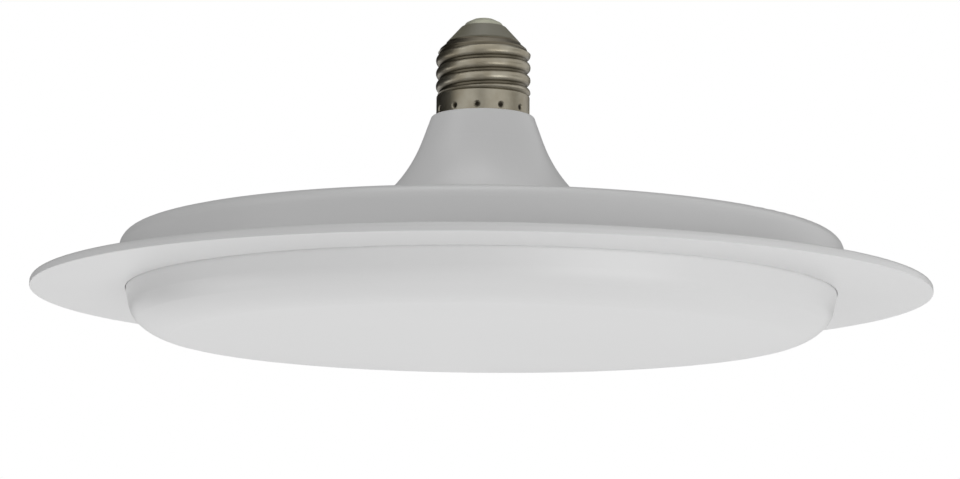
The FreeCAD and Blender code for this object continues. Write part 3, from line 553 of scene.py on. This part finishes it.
paper = Finish(
    "floor_paper",
    Base_Color=(0.88, 0.88, 0.88, 1),
    Roughness=0.9,
    Emission_Color=(1, 1, 1, 1),
    Emission_Strength=0.36,
)
lit = Value(paper, paper.shader.outputs[0])
white_out = paper.add("ShaderNodeEmission", None, {0: (1, 1, 1, 1), 1: 1.0})[0]
far_off = paper.between(paper.off_axis(), FADE_START, FADE_END)
faded = paper.add("ShaderNodeMixShader", None, {0: far_off, 1: lit, 2: white_out})[0]
below = paper.add("ShaderNodeNewGeometry")[6]
clear = paper.add("ShaderNodeBsdfTransparent")[0]
one_sided = paper.add("ShaderNodeMixShader", None, {0: below, 1: faded, 2: clear})[0]
paper.tree.links.new(one_sided.output, paper.tree.nodes["Material Output"].inputs["Surface"])
floor_data.materials.append(paper.material)


# Black flags: dark cards round the back, on both sides and behind the camera, out of the picture.
# They show only in the gloss, where they draw the dark edges of the cap and the white mouldings.


def black_flag(name, distance, start, sweep, low, high, level):
    """Curved card round the lamp. The angles are in degrees, counted from the camera's side."""
    bearing = math.radians(start)
    card = bmesh.new()
    foot = card.verts.new((distance * math.sin(bearing), -distance * math.cos(bearing), low))
    head = card.verts.new((distance * math.sin(bearing), -distance * math.cos(bearing), high))
    edge = card.edges.new((foot, head))
    bmesh.ops.spin(
        card,
        geom=[foot, head, edge],
        cent=(0, 0, 0),
        axis=(0, 0, 1),
        angle=math.radians(sweep),
        steps=24,
    )
    mesh = bpy.data.meshes.new(name)
    card.to_mesh(mesh)
    card.free()
    flag = bpy.data.objects.new(name, mesh)
    flag.visible_camera = False
    flag.visible_diffuse = False
    flag.visible_transmission = False
    flag.visible_shadow = False
    bpy.context.scene.collection.objects.link(flag)
    felt = Finish(name + "_felt", Roughness=1.0)
    shade = felt.add("ShaderNodeEmission", None, {0: (level, level, level * 0.92, 1), 1: 1.0})[0]
    felt.tree.links.new(shade.output, felt.tree.nodes["Material Output"].inputs["Surface"])
    mesh.materials.append(felt.material)


black_flag("left_flag", 1.0, -74, -62, -0.7, 2.5, 0.015)
black_flag("left_back_flag", 1.0, -136, -42, -0.13, 2.5, 0.015)
black_flag("right_flag", 1.0, 142, 38, -0.13, 1.3, 0.1)
black_flag("right_side_flag", 0.97, 70, 30, 0.03, 0.3, 0.3)
black_flag("camera_flag", 0.95, -12, 14, -0.5, 0.25, 0.15)


# World: white where the camera or the gloss sees it, or a ray comes through a clear surface.
# All other rays find an even soft level.

SOFT_LEVEL = 0.42
world = bpy.data.worlds.new("studio")
world.use_nodes = True
bpy.context.scene.world = world
background = world.node_tree.nodes["Background"]
rays = world.node_tree.nodes.new("ShaderNodeLightPath")
direct = world.node_tree.nodes.new("ShaderNodeMath")
direct.operation = "MAXIMUM"
world.node_tree.links.new(rays.outputs["Is Camera Ray"], direct.inputs[0])
world.node_tree.links.new(rays.outputs["Is Glossy Ray"], direct.inputs[1])
through = world.node_tree.nodes.new("ShaderNodeMath")
through.operation = "MAXIMUM"
world.node_tree.links.new(direct.outputs[0], through.inputs[0])
world.node_tree.links.new(rays.outputs["Is Transmission Ray"], through.inputs[1])
level = world.node_tree.nodes.new("ShaderNodeMapRange")
level.inputs["To Min"].default_value = SOFT_LEVEL
level.inputs["To Max"].default_value = 1.0
world.node_tree.links.new(through.outputs[0], level.inputs["Value"])
world.node_tree.links.new(level.outputs[0], background.inputs["Strength"])
background.inputs["Color"].default_value = (1, 1, 1, 1)


# Lamps: weak soft boxes, three below the level of the bowl and three over the disc lamp.
# The low ones light the bowl and the brim's lower face, the high ones the flare and the pan.


def soft_box(name, place, aim, size, watts):
    """Square area lamp that the camera doesn't see."""
    data = bpy.data.lights.new(name, "AREA")
    data.shape = "SQUARE"
    data.size = size
    data.energy = watts
    lamp = bpy.data.objects.new(name, data)
    lamp.location = place
    lamp.rotation_mode = "QUATERNION"
    lamp.rotation_quaternion = (Vector(aim) - Vector(place)).to_track_quat("-Z", "Y")
    lamp.visible_camera = False
    bpy.context.scene.collection.objects.link(lamp)


soft_box("under_box", (0.0, 0.0, -0.35), (0, 0, -0.09), 0.7, 0.3)
soft_box("front_box", (0.4, -0.5, -0.34), (0, 0, -0.09), 0.4, 1.15)
soft_box("low_left_box", (-0.75, 0.0, -0.4), (0, 0, -0.09), 0.4, 0.95)
soft_box("high_left_box", (-0.9, -0.2, 0.9), (0, 0, -0.06), 0.6, 1.05)
soft_box("back_box", (-0.2, 0.1, 1.3), (0, 0, 0), 0.8, 1.5)
soft_box("over_box", (0.0, 0.0, 2.4), (0, 0, 0), 0.4, 1.3)


bpy.context.scene.view_settings.view_transform = "Standard"
